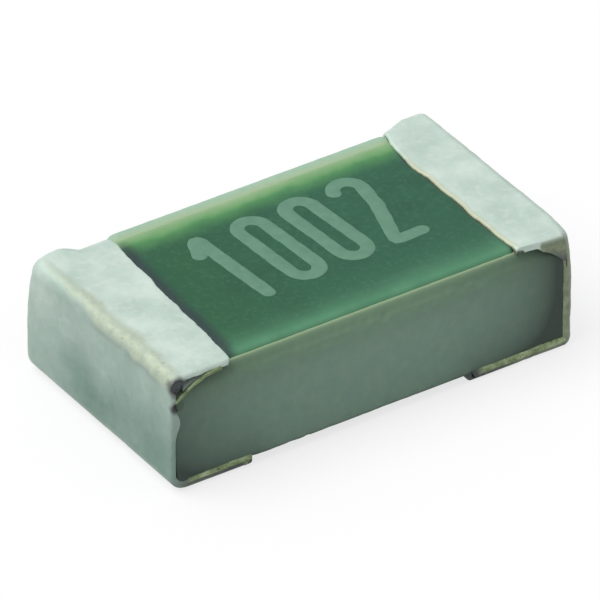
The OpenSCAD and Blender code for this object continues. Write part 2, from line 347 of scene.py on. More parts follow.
# How far points are from the middle of a hollow: its ragged wall is at one
def hollow_reach(points, hollow, grown):
    along, up, half_l, half_h = hollow
    middle = np.array([-along, -cap_half_w - HOLLOW_OUT, up])
    sizes = np.array([half_l, (half_l + half_h) / 2, half_h]) + grown
    arm = (points - middle) / sizes
    wall = 1 + HOLLOW_RAGGED * cloud(points, HOLLOW_GRAIN, SEED["hollow"])[..., None]
    return middle, sizes, arm, np.linalg.norm(arm, axis=-1, keepdims=True) / wall


# Pushes points out of the hollows
def hollowed(points, grown):
    for hollow in HOLLOWS:
        middle, sizes, arm, reach = hollow_reach(points, hollow, grown)
        points = np.where(reach < 1, middle + arm / np.maximum(reach, HOLLOW_LEAST) * sizes, points)
    return points


# Draws points in at the corners that are worn blunt
def blunted(points):
    for (side, edge), depth, reach in BLUNT:
        corner = np.array([side * cap_end, edge * cap_half_w, cap_top])
        inward = -np.array([side, edge, 1.0]) / math.sqrt(3)
        far = np.linalg.norm(points - corner, axis=-1, keepdims=True)
        points = points + inward * depth * np.exp(-(far / reach) ** 2)
    return points


# Rounding of the far long edge of a cap, at a share of its top leg and a height
def far_rounding(side, leg, up, base):
    top_r = EDGES[side, FAR][ON_TOP][0]
    grown = smooth(FAR_GROWS_FROM, cap_top - END_TOP_R[side], up)
    full, none = FAR_BORDER_LEG[side]
    at_border = smooth(none, full, leg)
    return base + (top_r - base) * grown + (FAR_BORDER_R[side] - top_r) * at_border


# All layers of one cap as closed skins, from the tin inwards
def cap_skins(side):
    path = np.moveaxis(cap_path(side)[:, None, :], -1, 0)
    leg, along, up, n_along, n_up, is_top, is_end, is_foot = path
    flat, turn, drop = np.moveaxis(across_stations()[None], -1, 0)
    sign = np.sign(flat)
    near = sign < 0
    above = is_top > 0
    high_r, low_r = END_TOP_R[side], END_BOTTOM_R[side]

    def edge_value(i):
        shares = (is_top, is_end, is_foot)
        near_value, far_value = (
            sum(EDGES[side, edge][k][i] * share for k, share in enumerate(shares)) for edge in (NEAR, FAR))
        return np.where(near, near_value, far_value)

    side_r, face, out = edge_value(0), edge_value(1), edge_value(2)
    far_r = np.where(is_foot > 0, side_r, far_rounding(side, leg, up, side_r))
    at_corner = bump(up, cap_top, NEAR_CORNER_REACH) * (leg == 1) * (is_foot == 0)
    near_r = side_r + (NEAR_CORNER_R[side] - side_r) * at_corner
    side_r = np.where(near, near_r, far_r)
    y = flat * (cap_half_w + out - side_r) + sign * side_r * np.sin(turn)

    # Where the top leg starts: the ragged border with the coat
    at_border = xyz(y, side * BORDERS_APART, 0)
    border = side * coat_end(side, y) + rough(at_border, RAGGED, SEED["border"])
    border = border + BORDER_BACK[side] * near * smooth(0, QUARTER, turn)
    along = np.where(leg < 1, border + leg * (along - border), along + 0 * border)
    from_border = np.where(leg < 1, along - border, FAR_FROM_BORDER)
    if side == RIGHT:
        y = y + LIP_IN * near * np.sin(turn) * bump(from_border, 0, LIP_IN_REACH)

    # Side faces: a lip that grows on the right, and on the left a groove over the torn edge and a flake
    groove = np.zeros_like(along)
    past = unit((along - WORN_FROM) / (WORN_FULL - WORN_FROM))
    if side == RIGHT:
        hanging = face + (WORN_LIP * smooth(0, WORN_LIP_GROWS, past) + WORN_DROP * past ** 2)
        face = np.where(above & near, hanging, face)
    if side == LEFT:
        to_torn = np.maximum(cap_top - side_r - torn_edge_z(along), LEAST_FACE)
        face = np.where(above & near, to_torn, face)
        face = face + FLAKE_OUT * bump(up, FLAKE_Z, FLAKE_H) * near * (is_end == 1)
        hollow_share = np.sin(math.pi * unit(drop * GROOVE_SPAN)) * above * near
        groove = hollow_share * smooth(TORN_STOP, TORN_STOP + GROOVE_GROWS, along)
    lap_line = xyz(along, 0, side)
    lap = FAR_LAP[side] + rough(lap_line, FAR_LAP_WAVE, SEED["lap"])
    face = np.where(above & ~near, np.maximum(lap - side_r, LEAST_FACE), face)
    y = y + GROOVE_DEPTH * groove

    # Depth below the path, held short of the middle of the two end roundings
    curl = np.where(above & (is_end > 0), high_r, NO_CURL)
    curl = np.where((is_end > 0) & (is_foot > 0), low_r, curl)
    curl = np.where((is_end == 1) & ~near, cap_top - up, curl)
    inset = side_r * (1 - np.cos(turn)) + face * drop
    held = curl * (1 - CURL_SOFT * fading(inset / curl - CURL_FREE, CURL_SOFT))
    inset = np.where(inset > curl * CURL_FREE, held, inset)
    lip = unit(1 - from_border / LIP_R)
    inset = inset + LIP_R * (1 - np.sqrt(1 - lip ** 2)) * LIP_SHARE * np.cos(turn)
    level_end = np.where(above & near & (side == RIGHT), np.cos(turn), 1.0)

    def at(depth):
        deep = inset + depth * level_end
        return xyz(side * (along - n_along * deep), y, up - n_up * deep)

    # Grown metal: broad lumps and fine grain, coarser on the front edges, flat under the feet
    place = at(0.0)
    front = near * unit(np.sin(turn)) + 0 * inset
    lumps = rough(place, LUMPS, SEED["lumps"]) + front * rough(place, FRONT_LUMPS, SEED["front"])
    lumps = np.where(is_foot * (1 - front) > 0, np.minimum(lumps, 0) * FOOT_FLAT, lumps)
    lumps = np.where(near & (drop > 0), np.maximum(lumps, FRONT_LEAST), lumps)

    welt = np.zeros_like(inset)
    # Painted shade in the groove over the torn edge
    broken = GROOVE_PAINTED_SHADE * groove
    if side == LEFT:
        # The welt, and a soft crease below it with painted shade in it
        arc_l = high_r * QUARTER
        arc = np.where(leg < 1, (along - cap_end + high_r) / arc_l, is_end)
        arc = np.where(is_end == 1, 1 + (cap_top - high_r - up) / arc_l, arc)
        arc = np.where(is_foot > 0, OFF_THE_EDGE, arc)
        middle = between(WELT_AT, smooth(*WELT_AT_ACROSS, y))
        middle = middle + rough(place * [0, 1, 0], WELT_WANDER, SEED["welt"])
        wide = between(WELT_WIDE, smooth(*WELT_WIDE_ACROSS, y))
        strong = between(WELT_STRONG, smooth(*WELT_STRONG_ACROSS, y))
        welt = bump(arc, middle, wide) * strong * smooth(*WELT_STARTS, y)
        crease = bump(arc, middle + CREASE_BELOW, CREASE_WIDE)
        crease = crease * smooth(*CREASE_FAR, y) * smooth(*CREASE_NEAR, y)
        welt_lumps = WELT_LUMPS * cloud(place, WELT_GRAIN, SEED["welt_lumps"])
        lumps = lumps + welt * (WELT_HIGH + welt_lumps) - CREASE_DEEP * crease
        broken = np.maximum(broken, CREASE_SHADE * crease)

    normal_y = sign * np.sin(turn)
    level = np.cos(turn)
    push = xyz(side * n_along * level, normal_y, n_up * level)

    def surface(depth):
        points = at(depth) + push * (lumps if depth == 0 else np.minimum(lumps, 0))[..., None]
        points[..., 1] -= normal_y * depth
        if side == LEFT:
            points = hollowed(points, HOLLOW_GROWS * depth)
        points = blunted(points)
        points[..., 2] = np.maximum(points[..., 2], depth * FLOOR_SHARE)
        return points

    # What the eye should tell apart, as shares from 0 to 1, painted shade and highlights among them
    if side == LEFT:
        # Painted shade in the hollows of the broken corner
        for hollow in HOLLOWS:
            reach = hollow_reach(place, hollow, 0.0)[-1][..., 0]
            broken = np.maximum(broken, HOLLOW_SHADE * smooth(*HOLLOW_SOFT, reach))
    worn = front * (is_foot + (side == RIGHT) * (1 - is_foot))
    if side == RIGHT:
        worn = worn * np.where(above, smooth(0, WORN_SOFT, past), 1)
        # Painted shade under the worn lip
        lip_shade = smooth(*LIP_SHADE_DROP, drop) * smooth(*LIP_SHADE_PAST, past) * above * near
        broken = np.maximum(broken, LIP_SHADE_DARKNESS * lip_shade)
    from_end, from_inner = cap_end - along, along - foot_inner[side]
    # Painted highlight along the upper front ledge of each foot
    shine = smooth(*LEDGE_FROM_END[side], from_end)
    if side == RIGHT:
        shine = shine * smooth(*LEDGE_FROM_INNER, from_inner)
    ledge_highlight = front * is_foot * smooth(*LEDGE_DROP, drop) * shine
    # Painted shade along the feet below their ledges and at their inner ends
    shaded = between(FOOT_SHADE[side], smooth(*INNER_REACH, from_inner))
    broken = np.maximum(broken, shaded * front * is_foot * (1 - ledge_highlight))
    inner_end = smooth(*INNER_FACING, -n_along) * smooth(*INNER_ACROSS, y)
    broken = np.maximum(broken, FOOT_SHADE[side][1] * inner_end * (1 - ledge_highlight))
    if side == LEFT:
        # Painted shade in the low front corner
        low_corner = smooth(*LOW_CORNER_UP, up) * smooth(*LOW_CORNER_ALONG, from_end)
        low_corner = low_corner * smooth(*LOW_CORNER_ACROSS, y)
        broken = np.maximum(broken, LOW_CORNER_SHADE * low_corner * (1 - ledge_highlight))
    # Painted highlight along the right border
    border_highlight = (side == RIGHT) * unit(1 - from_border / BORDER_HIGHLIGHT_WIDE)
    border_highlight = border_highlight * smooth(*BORDER_HIGHLIGHT_FAR, y) * smooth(*BORDER_HIGHLIGHT_NEAR, y)
    # Painted shade low on the ends
    end_shade = np.where(above, is_end, 1) * (1 - is_foot) + 0 * inset
    uneven = up + END_SHADE_UNEVEN * cloud(place, END_SHADE_GRAIN, SEED["end_shade"])
    end_shade = end_shade * between(END_SHADE_HIGH_LOW, smooth(*END_SHADE_UP, uneven))
    end_shade = end_shade * between(END_SHADE_FAR_NEAR, smooth(*END_SHADE_ACROSS, y))
    paint = {"worn": worn, "ledge_highlight": ledge_highlight, "welt": welt, "broken": broken, "border_highlight": border_highlight, "end_shade": end_shade}
    paint = {key: unit(value + 0 * inset) for key, value in paint.items()}

    skins = []
    for name, material, node, upper, lower in LAYERS:
        step = HIDDEN_STRIDE if upper > 0 else 1
        pick = np.ix_(*(sorted({*range(0, count, step), count - 1}) for count in inset.shape))
        shown = {key: value[pick] for key, value in paint.items()} if upper == 0 else {}
        piece = closed_skin(name + "_" + SIDE_NAMES[side], surface(upper)[pick], surface(lower)[pick], shown)
        skins.append((piece, material, node + "_" + SIDE_NAMES[side]))
    return skins


# The ceramic block: a scribed section carried along the length, with a snapped grain
CERAMIC_STEP, TUCK_ROOM, TUCK_BLEND = 0.0125, 0.003, (-0.035, 0.040)
FINE_REACH, FINE_STEPS, LAP_BLEND = 0.11, 26, 0.03
GRAIN = ((0.0018, 0.06), (0.0012, 0.02))
SCRIBE_PITCH, SCRIBE_PIT, EDGE_NICK, LEAST_PROUD = 0.052, 0.004, 0.006, 0.001
# Where the section turns from flat to side and to bottom, and the share that moves upwards on the bevel
SIDE_FROM, SIDE_FULL, BOTTOM_SOFT, UPWARD_SHARE = 0.004, 0.002, 0.004, 0.5
# The row of scribe pits: place down the bevel, spread, and how it wanders
SCRIBE_AT, SCRIBE_SPREAD, WANDER, WANDER_GRAIN = 0.6, 0.03, 3, 0.2
# Nicks along the bottom and the bevel edge: reach, noise levels, grain and stretch
NICK_REACH, NICK_LEVELS, NICK_GRAIN, NICK_STRETCH = (0.012, 0.01), (0.25, 0.8), 0.05, (1, 0.2, 0.2)
# Wear of the bevel's lower and upper edge: depth and reach
BEVEL_WEAR, TOP_WEAR = (0.006, 0.022), (0.003, 0.012)
# Painted shade of the ceramic as share and reach: all over, downwards, at the bottom, low, at ends and feet
DARK_ALL, DARK_DOWN, DARK_BOTTOM, DARK_MOST = 0.25, (0.07, 0.20), (0.12, 0.03), 0.97
DARK_LOW, LOW_REACH = (0.25, 0.12), {LEFT: 0.20, RIGHT: 0.35}
DARK_ENDS = ((LEFT, 0.44, 0.28), (RIGHT, 0.50, 0.30), (RIGHT, 0.70, 0.09))
DARK_FEET, FEET_SPAN = (0.20, 0.09), (-0.14, 0.06)
# Shade of the groove over the torn edge, soft edge of the front, shade of the bevel, reach of the painted
# green glow and of the rim
GROOVE_SHADE, GROOVE_SHADE_GROWS, FRONT_SOFT = (-0.004, 0.010), 0.04, (-0.002, 0.012)
BEVEL_SHADE, COAT_GLOW_REACH, RIM_ACROSS, RIM_DEPTH = 0.12, 0.10, (0.56, 0.46), 0.01


# Keeps points within a rounding: those past its middle both ways are drawn in to its radius
def within(u, v, middle_u, middle_v, radius):
    du, dv = u - middle_u, v - middle_v
    far = np.hypot(du, dv)
    outside = (du > 0) & (dv > 0) & (far > radius)
    share = np.where(outside, radius / np.maximum(far, 1e-9), 1.0)
    return middle_u + du * share, middle_v + dv * share


# Draws the ceramic in under the rounded edges of the caps, so that the plating has its room
def tucked(place):
    x, y, z = np.moveaxis(place, -1, 0)
    room = PLATING_T + TUCK_ROOM
    for side in (LEFT, RIGHT):
        along, border = side * x, side * coat_end(side, y)
        leg = unit((along - border) / (cap_end - END_TOP_R[side] - border))
        r = far_rounding(side, leg, cap_top, EDGES[side, FAR][ON_TOP][0])
        in_y, in_z = within(y, z, cap_half_w - r, cap_top - r, r - room)
        under = smooth(*TUCK_BLEND, along - border)
        y, z = y + (in_y - y) * under, z + (in_z - z) * under
        lap_edge = cap_top - FAR_LAP[side]
        lapped = under * smooth(lap_edge, lap_edge + LAP_BLEND, z)
        y = y + (np.minimum(y, cap_half_w - room) - y) * lapped
        for edge in (NEAR, FAR):
            r, _, out = EDGES[side, edge][ON_END]
            if edge == FAR:
                r = far_rounding(side, 1.0, z, r)
            if np.min(r) > room:
                along, out_y = within(along, edge * y, cap_end - r, cap_half_w + out - r, r - room)
                y = edge * out_y
        low = END_BOTTOM_R[side]
        along, down = within(along, -z, cap_end - low, -low, low - room)
        x, z = side * along, -down
    return xyz(x, y, z)


def ceramic_block():
    w, zb, zt = ceramic_half_w, ceramic_bottom, ceramic_top
    corners = [(-w, zb), (-w, zt - SCRIBE_H), (-w + SCRIBE_W, zt),
               (w - SCRIBE_W, zt), (w, zt - SCRIBE_H), (w, zb)]
    loop = []
    for (y0, z0), (y1, z1) in zip(corners, corners[1:] + corners[:1]):
        steps = max(2, round(math.hypot(y1 - y0, z1 - z0) / CERAMIC_STEP))
        loop += [(y0 + (y1 - y0) * i / steps, z0 + (z1 - z0) * i / steps) for i in range(steps)]
    loop = np.array(loop)
    ends = np.linspace(0, FINE_REACH, FINE_STEPS, endpoint=False)
    first, last = ceramic_low[0] + FINE_REACH, ceramic_high[0] - FINE_REACH
    inner = np.linspace(first, last, round((last - first) / CERAMIC_STEP))
    stations = np.concatenate([ceramic_low[0] + ends, inner, ceramic_high[0] - ends[::-1]])
    place = xyz(stations[:, None], loop[:, 0], loop[:, 1])

    # Outward direction of the section: sideways, up on the bevel, or down
    x, y, z = np.moveaxis(place, -1, 0)
    sideways = np.sign(y) * smooth(w - SCRIBE_W - SIDE_FROM, w - SIDE_FULL, np.abs(y))
    beside = np.abs(sideways)
    upward = smooth(zt - SCRIBE_H, zt, z) * (beside > 0) - smooth(zb + BOTTOM_SOFT, zb, z)
    scribe = bump(z, zt - SCRIBE_H * SCRIBE_AT, SCRIBE_SPREAD) * beside
    wander = WANDER * cloud(place, WANDER_GRAIN, SEED["scribe"])
    pits = SCRIBE_PIT * scribe * (1 + np.sin(2 * math.pi * x / SCRIBE_PITCH + wander)) / 2
    edges = bump(z, zb, NICK_REACH[0]) + bump(z, zt - SCRIBE_H, NICK_REACH[1])
    nicked = smooth(*NICK_LEVELS, cloud(place * NICK_STRETCH, NICK_GRAIN, SEED["nicks"]))
    nicks = EDGE_NICK * nicked * edges * beside
    wear = BEVEL_WEAR[0] * bump(z, zt - SCRIBE_H, BEVEL_WEAR[1]) + TOP_WEAR[0] * bump(z, zt, TOP_WEAR[1])
    shift = np.minimum(rough(place, GRAIN, SEED["grain"]) - pits - wear - nicks, LEAST_PROUD)
    rise = UPWARD_SHARE * upward * np.minimum(shift, 0)
    place = place + xyz(0, sideways * shift, rise)

    # End bevels and bevelled upright corners, room for the plating, and the hollows of the broken corner
    to_left, to_right = x - ceramic_low[0], ceramic_high[0] - x
    to_end = np.minimum(to_left, to_right)
    roof = zt - END_SCRIBE_H * unit(1 - to_end / END_SCRIBE_W)
    wall = w - CORNER_BEVEL * unit(1 - to_end / CORNER_BEVEL) * (y > 0)
    place[..., 2] = np.minimum(place[..., 2], roof)
    place[..., 1] = np.clip(place[..., 1], -wall, wall)
    place = hollowed(blunted(tucked(place)), HOLLOW_ROOM)

    # Painted shade where light that enters the pale ceramic is lost next to the metal and low down, and a
    # painted green glow along its rim from light that comes through the coat
    under_top, over_bottom = zt - z, z - zb
    to_cap = {LEFT: to_left, RIGHT: to_right}
    dark = DARK_ALL + DARK_DOWN[0] * smooth(DARK_DOWN[1], zt - zb, under_top)
    dark = dark + DARK_BOTTOM[0] * fading(over_bottom, DARK_BOTTOM[1])
    low_ends = sum(fading(to_cap[side], LOW_REACH[side]) for side in (LEFT, RIGHT))
    dark = dark + DARK_LOW[0] * fading(over_bottom, DARK_LOW[1]) * low_ends
    for side, share, reach in DARK_ENDS:
        dark = dark + share * fading(to_cap[side], reach)
    for side in (LEFT, RIGHT):
        over_foot = smooth(foot_inner[side] + FEET_SPAN[0], foot_inner[side] + FEET_SPAN[1], side * x)
        dark = dark + DARK_FEET[0] * over_foot * fading(over_bottom, DARK_FEET[1])
    groove = smooth(*GROOVE_SHADE, z - torn_edge_z(-x))
    groove = groove * smooth(TORN_STOP, TORN_STOP + GROOVE_SHADE_GROWS, -x)
    bevel_y = w - SCRIBE_W
    front = np.maximum(beside * (y < 0), smooth(bevel_y + FRONT_SOFT[0], bevel_y + FRONT_SOFT[1], -y))
    shown = np.where(y < 0, front, beside)
    dark = dark + BEVEL_SHADE * bump(under_top, SCRIBE_H / 2, SCRIBE_H / 2)
    dark = np.clip(np.maximum(dark, groove * (y < 0)), 0, DARK_MOST) * shown
    coat_glow = bump(under_top, 0, COAT_GLOW_REACH) * shown
    rim = (1 - beside) * (z > zt - RIM_DEPTH) * smooth(*RIM_ACROSS, y)
    rows, columns = x.shape
    index = np.arange(rows * columns).reshape(rows, columns)
    faces = grid_faces(np.concatenate([index, index[:, :1]], axis=1))
    faces += [index[0].tolist(), index[-1][::-1].tolist()]
    return make_object("alumina_block", place.reshape(-1, 3), faces, {"dark": dark, "coat_glow": coat_glow, "rim": rim})


# The lacquer: slumped at its edges, thin and see-through along the far one, sunk a little into the ceramic
COAT_ACROSS, COAT_ALONG = 118, 168
COAT_WOBBLE, COAT_CREST, COAT_SUNK, COAT_LEAST = ((0.0008, 0.2), (0.0004, 0.04)), 0.0006, 0.004, 0.002
COAT_RAGGED, THIN_REACH, NEAR_REACH = ((0.014, 0.09), (0.006, 0.025)), (0.03, 0.205), (0.05, 0.013)
BORDER_SHADOW_LEFT, BORDER_SHADOW_RIGHT, BORDER_SHADOW_SHARE, BORDER_SHADOW_COVER = (0.070, 0.004), (0.022, 0.002), 0.6, (0.1, 0.6)
NEAR_GROWS, NEAR_RAGGED, BLUER_RUN = (-0.2, 0.6), 0.5, (-0.6, 0.3)


def coat_skin():
    y = np.linspace(coat_low[1], coat_high[1], COAT_ACROSS)[:, None]
    t = np.linspace(0, 1, COAT_ALONG)[None]
    x0, x1 = coat_end(LEFT, y), coat_end(RIGHT, y)
    x = x0 + (x1 - x0) * t
    to_end = np.minimum(x - x0, x1 - x)
    to_side = np.minimum(y - coat_low[1], coat_high[1] - y)

    def fall(distance, edge_t, reach):
        short = 1 - unit(distance / reach)
        return edge_t + (COAT_T - edge_t) * np.sqrt(1 - short ** 2)

    height = np.minimum(fall(to_end, COAT_END_T, COAT_END_FALL), fall(to_side, COAT_SIDE_T, COAT_SIDE_FALL))
    flat = xyz(x, y, 0)
    wobble = np.minimum(rough(flat, COAT_WOBBLE, SEED["coat"]), COAT_CREST)
    outer = xyz(x, y, ceramic_top + height + wobble)

    # Underside: on the ceramic, over the contacts, the film and the glass
    u, v = np.abs(x - PRINT_X), np.abs(y - PRINT_Y)
    on_contact = (u > CONTACT_INNER) & (v < CONTACT_HALF_W)
    on_glass = (u < GLASS_REACH) & (v < GLASS_HALF_W)
    under = CONTACT_T * on_contact + (FILM_T + GLASS_T) * on_glass
    under = np.where(on_contact | on_glass, under, -COAT_SUNK)
    inner = xyz(x, y, ceramic_top + np.minimum(under, height - COAT_LEAST))

    ragged = rough(flat, COAT_RAGGED, SEED["coat_edge"])
    cover = smooth(coat_high[1] + THIN_REACH[0], coat_high[1] - THIN_REACH[1], y + ragged)
    reach = NEAR_REACH[0] + NEAR_REACH[1] * smooth(*NEAR_GROWS, x)
    near = fading(y - coat_low[1] + NEAR_RAGGED * ragged, reach)
    # Painted shadow along the borders with the caps, where they stand above the coat
    border_shadow = smooth(*BORDER_SHADOW_LEFT, x - x0 + BORDER_SHADOW_SHARE * ragged) + BORDER_SHADOW_SHARE * smooth(*BORDER_SHADOW_RIGHT, x1 - x)
    border_shadow = unit(border_shadow) * smooth(*BORDER_SHADOW_COVER, cover)
    paint = {"thin": 1 - cover, "near": near, "border_shadow": border_shadow, "bluer": smooth(*BLUER_RUN, x)}
    return closed_skin("green_lacquer", outer, inner, paint)


# A node tree that shapes geometry, with the keys of its named inputs
def shape_tree(name, kinds):
    tree = bpy.data.node_groups.new(name, "GeometryNodeTree")
    keys = {}
    for title, kind in {"Geometry": "Geometry", **kinds}.items():
        socket = tree.interface.new_socket(title, in_out="INPUT", socket_type="NodeSocket" + kind)
        keys[title] = socket.identifier
    tree.interface.new_socket("Geometry", in_out="OUTPUT", socket_type="NodeSocketGeometry")
    return tree, keys, add(tree, "NodeGroupInput").outputs


# Runs a node tree on an object, keeps the result as a plain mesh object and removes the source
def shaped(source, name, maker, values):
    tree, keys = maker
    step = source.modifiers.new(tree.name, "NODES")
    step.node_group = tree
    for title, value in values.items():
        step[keys[title]] = value
    ready = source.evaluated_get(bpy.context.evaluated_depsgraph_get())
    mesh = bpy.data.meshes.new_from_object(ready)
    source.modifiers.remove(step)
    bpy.data.objects.remove(source)
    mesh.name = name
    mesh.shade_smooth()
    return new_object(name, mesh)


# Round strokes swept along paths, for the printed figures and for the torn edge
STROKE_STEP, STROKE_SIDES, STROKE_RINGS = 0.010, 14, 8
WOBBLE_DETAIL, NOISE_MIDDLE = 1.0, (0.5, 0.5, 0.5)


def stroke_tree():
    tree, keys, given = shape_tree("round_stroke", {
        "Radius": "Float", "Rise": "Float", "Level": "Float", "Wobble": "Float", "Wobble scale": "Float",
        "Material": "Material"})
    even = add(tree, "GeometryNodeResampleCurve",
               {"Curve": given["Geometry"], "Length": STROKE_STEP * MM}, mode="LENGTH")
    ring = add(tree, "GeometryNodeCurvePrimitiveCircle",
               {"Resolution": STROKE_SIDES, "Radius": given["Radius"]}, mode="RADIUS")
    line = add(tree, "GeometryNodeCurveToMesh",
               {"Curve": even, "Profile Curve": ring, "Fill Caps": True})
    ball = add(tree, "GeometryNodeMeshUVSphere",
               {"Segments": STROKE_SIDES, "Rings": STROKE_RINGS, "Radius": given["Radius"]})
    tip = add(tree, "GeometryNodeCurveEndpointSelection")
    ends = add(tree, "GeometryNodeInstanceOnPoints", {"Points": even, "Selection": tip, "Instance": ball})
    both = add(tree, "GeometryNodeJoinGeometry")
    for part in (line.outputs["Mesh"], ends.outputs["Instances"]):
        tree.links.new(part, both.inputs["Geometry"])
    real = add(tree, "GeometryNodeRealizeInstances", {"Geometry": both})
    noise = add(tree, "ShaderNodeTexNoise", {"Scale": given["Wobble scale"], "Detail": WOBBLE_DETAIL})
    middle = add(tree, "ShaderNodeVectorMath",
                 {0: noise.outputs["Color"], 1: NOISE_MIDDLE}, operation="SUBTRACT")
    uneven = add(tree, "ShaderNodeVectorMath", {0: middle, "Scale": given["Wobble"]}, operation="SCALE")
    moved = add(tree, "GeometryNodeSetPosition", {"Geometry": real, "Offset": uneven})
    share = add(tree, "ShaderNodeMath", {0: given["Rise"], 1: given["Radius"]}, operation="DIVIDE")
    squash = add(tree, "ShaderNodeCombineXYZ", {"X": 1.0, "Y": 1.0, "Z": share})
    lift = add(tree, "ShaderNodeCombineXYZ", {"Z": given["Level"]})
    laid = add(tree, "GeometryNodeTransform", {"Geometry": moved, "Translation": lift, "Scale": squash})
    dyed = add(tree, "GeometryNodeSetMaterial", {"Geometry": laid, "Material": given["Material"]})
    add(tree, "NodeGroupOutput", {"Geometry": dyed})
    return tree, keys


# Strokes are lists of points in millimetres; one that ends where it starts is closed
def stroked(name, strokes, maker, radius, rise, level, wobble, grain, material):
    curve = bpy.data.curves.new(name, "CURVE")
    curve.dimensions = "3D"
    for stroke in strokes:
        closed = stroke[0] == stroke[-1]
        points = stroke[:-1] if closed else stroke
        spline = curve.splines.new("POLY")
        spline.points.add(len(points) - 1)
        spline.use_cyclic_u = closed
        for point, place in zip(spline.points, points):
            point.co = [v * MM for v in place] + [1]
    return shaped(new_object(name, curve), name, maker, {
        "Radius": radius * MM, "Rise": rise * MM, "Level": level * MM, "Wobble": wobble * MM,
        "Wobble scale": 1 / (grain * MM), "Material": MATERIALS[material]})


# The value code in plain rounded figures: 1002 stands for ten thousand ohms
FIGURE_H, FIGURE_W, FIGURE_PITCH, PEN = 0.504, 0.132, 0.258, 0.072
CODE_X, CODE_Y, CODE_LEAN, CODE_TURN = 0.030, 0.022, -0.02, math.radians(2.5)
INK_RISE, INK_SUNK, INK_WOBBLE, INK_GRAIN = 0.0026, 0.0004, 0.012, 0.07
# Strokes in half widths and half heights of a figure, and the turn of the bow of the two
ONE_STROKE = ((-0.75, 0.60), (-0.1, 0.96), (0.1, 1), (0.2, 0.94), (0.25, -1))
TWO_FOOT, TWO_BOW, ARC_POINTS = ((0.55, 0.12), (-0.95, -0.9), (-1, -1), (1, -1)), (165, -25), 20


def arc_points(cx, cy, r, start, stop):
    turns = np.radians(np.linspace(start, stop, ARC_POINTS))
    return [(cx + r * math.cos(a), cy + r * math.sin(a)) for a in turns]


def figure_strokes():
    w, h = FIGURE_W / 2, FIGURE_H / 2
    one = [(u * w, v * h) for u, v in ONE_STROKE]
    nought = arc_points(0, h - w, w, 0, 180) + arc_points(0, w - h, w, 180, 360)
    nought = nought + nought[:1]
    two = arc_points(0, h - w, w, *TWO_BOW) + [(u * w, v * h) for u, v in TWO_FOOT]
    return [one, nought, nought, two]


def value_code(maker):
    figures = figure_strokes()
    c, s = math.cos(CODE_TURN), math.sin(CODE_TURN)
    strokes = []
    for i, figure in enumerate(figures):
        shift = (i - (len(figures) - 1) / 2) * FIGURE_PITCH
        flat = [(shift + x + y * CODE_LEAN, y) for x, y in figure]
        strokes.append([(CODE_X + c * x - s * y, CODE_Y + s * x + c * y, 0.0) for x, y in flat])
    level = ceramic_top + COAT_T - INK_SUNK
    return stroked("value_code", strokes, maker, PEN / 2, INK_RISE, level, INK_WOBBLE, INK_GRAIN, "ink")


# The torn edge of the plating, a bead that climbs from the broken corner along the front
TORN_R, TORN_OUT, TORN_WOBBLE, TORN_GRAIN, TORN_POINTS = 0.0085, 0.004, 0.012, 0.04, 24


def torn_edge(maker):
    along = np.linspace(TORN_START, TORN_STOP, TORN_POINTS)
    path = [(-float(a), -cap_half_w - TORN_OUT, float(torn_edge_z(a))) for a in along]
    return stroked("torn_edge", [path], maker, TORN_R, TORN_R, 0.0, TORN_WOBBLE, TORN_GRAIN, "nodule")


# Nodules that plating grows on sharp edges: they sit along the ledges of the feet
NODULES_PER_MM2, NODULE_R, NODULE_LEAST, NODULE_ROUND = 1500, 0.0050, 0.4, 2
SPOT_SEED, SIZE_SEED = 7, 8


def growth_tree():
    tree, keys, given = shape_tree("edge_growth", {
        "Nodules per square metre": "Float", "Nodule radius": "Float", "Material": "Material"})
    # Nodules are spread where the ledge highlight is painted
    ledge_highlight = add(tree, "GeometryNodeInputNamedAttribute", {"Name": "ledge_highlight"}, data_type="FLOAT")
    amount = add(tree, "ShaderNodeMath",
                 {0: ledge_highlight.outputs["Attribute"], 1: given["Nodules per square metre"]}, operation="MULTIPLY")
    spots = add(tree, "GeometryNodeDistributePointsOnFaces",
                {"Mesh": given["Geometry"], "Density": amount, "Seed": SPOT_SEED},
                distribute_method="RANDOM")
    grain = add(tree, "GeometryNodeMeshIcoSphere",
                {"Radius": given["Nodule radius"], "Subdivisions": NODULE_ROUND})
    scale = add(tree, "FunctionNodeRandomValue",
                {2: NODULE_LEAST, 3: 1.0, "Seed": SIZE_SEED}, data_type="FLOAT")
    grown = add(tree, "GeometryNodeInstanceOnPoints",
                {"Points": spots, "Instance": grain, "Scale": scale.outputs[1]})
    real = add(tree, "GeometryNodeRealizeInstances", {"Geometry": grown})
    dyed = add(tree, "GeometryNodeSetMaterial", {"Geometry": real, "Material": given["Material"]})
    add(tree, "NodeGroupOutput", {"Geometry": dyed})
    return tree, keys


def plating_nodules(side, skin, maker):
    name = "tin_nodules_" + SIDE_NAMES[side]
    return shaped(new_object(name, skin.data.copy()), name, maker, {
        "Nodules per square metre": NODULES_PER_MM2 / MM ** 2, "Nodule radius": NODULE_R * MM,
        "Material": MATERIALS["nodule"]})


# Materials: a ground colour with layers of colour laid over it in turn. A layer's share is its strength,
# times a cloud of one grain between two levels, times the part of the piece that is painted for it
NOISE_DETAIL, NOISE_HARSH = 3.0, 0.55


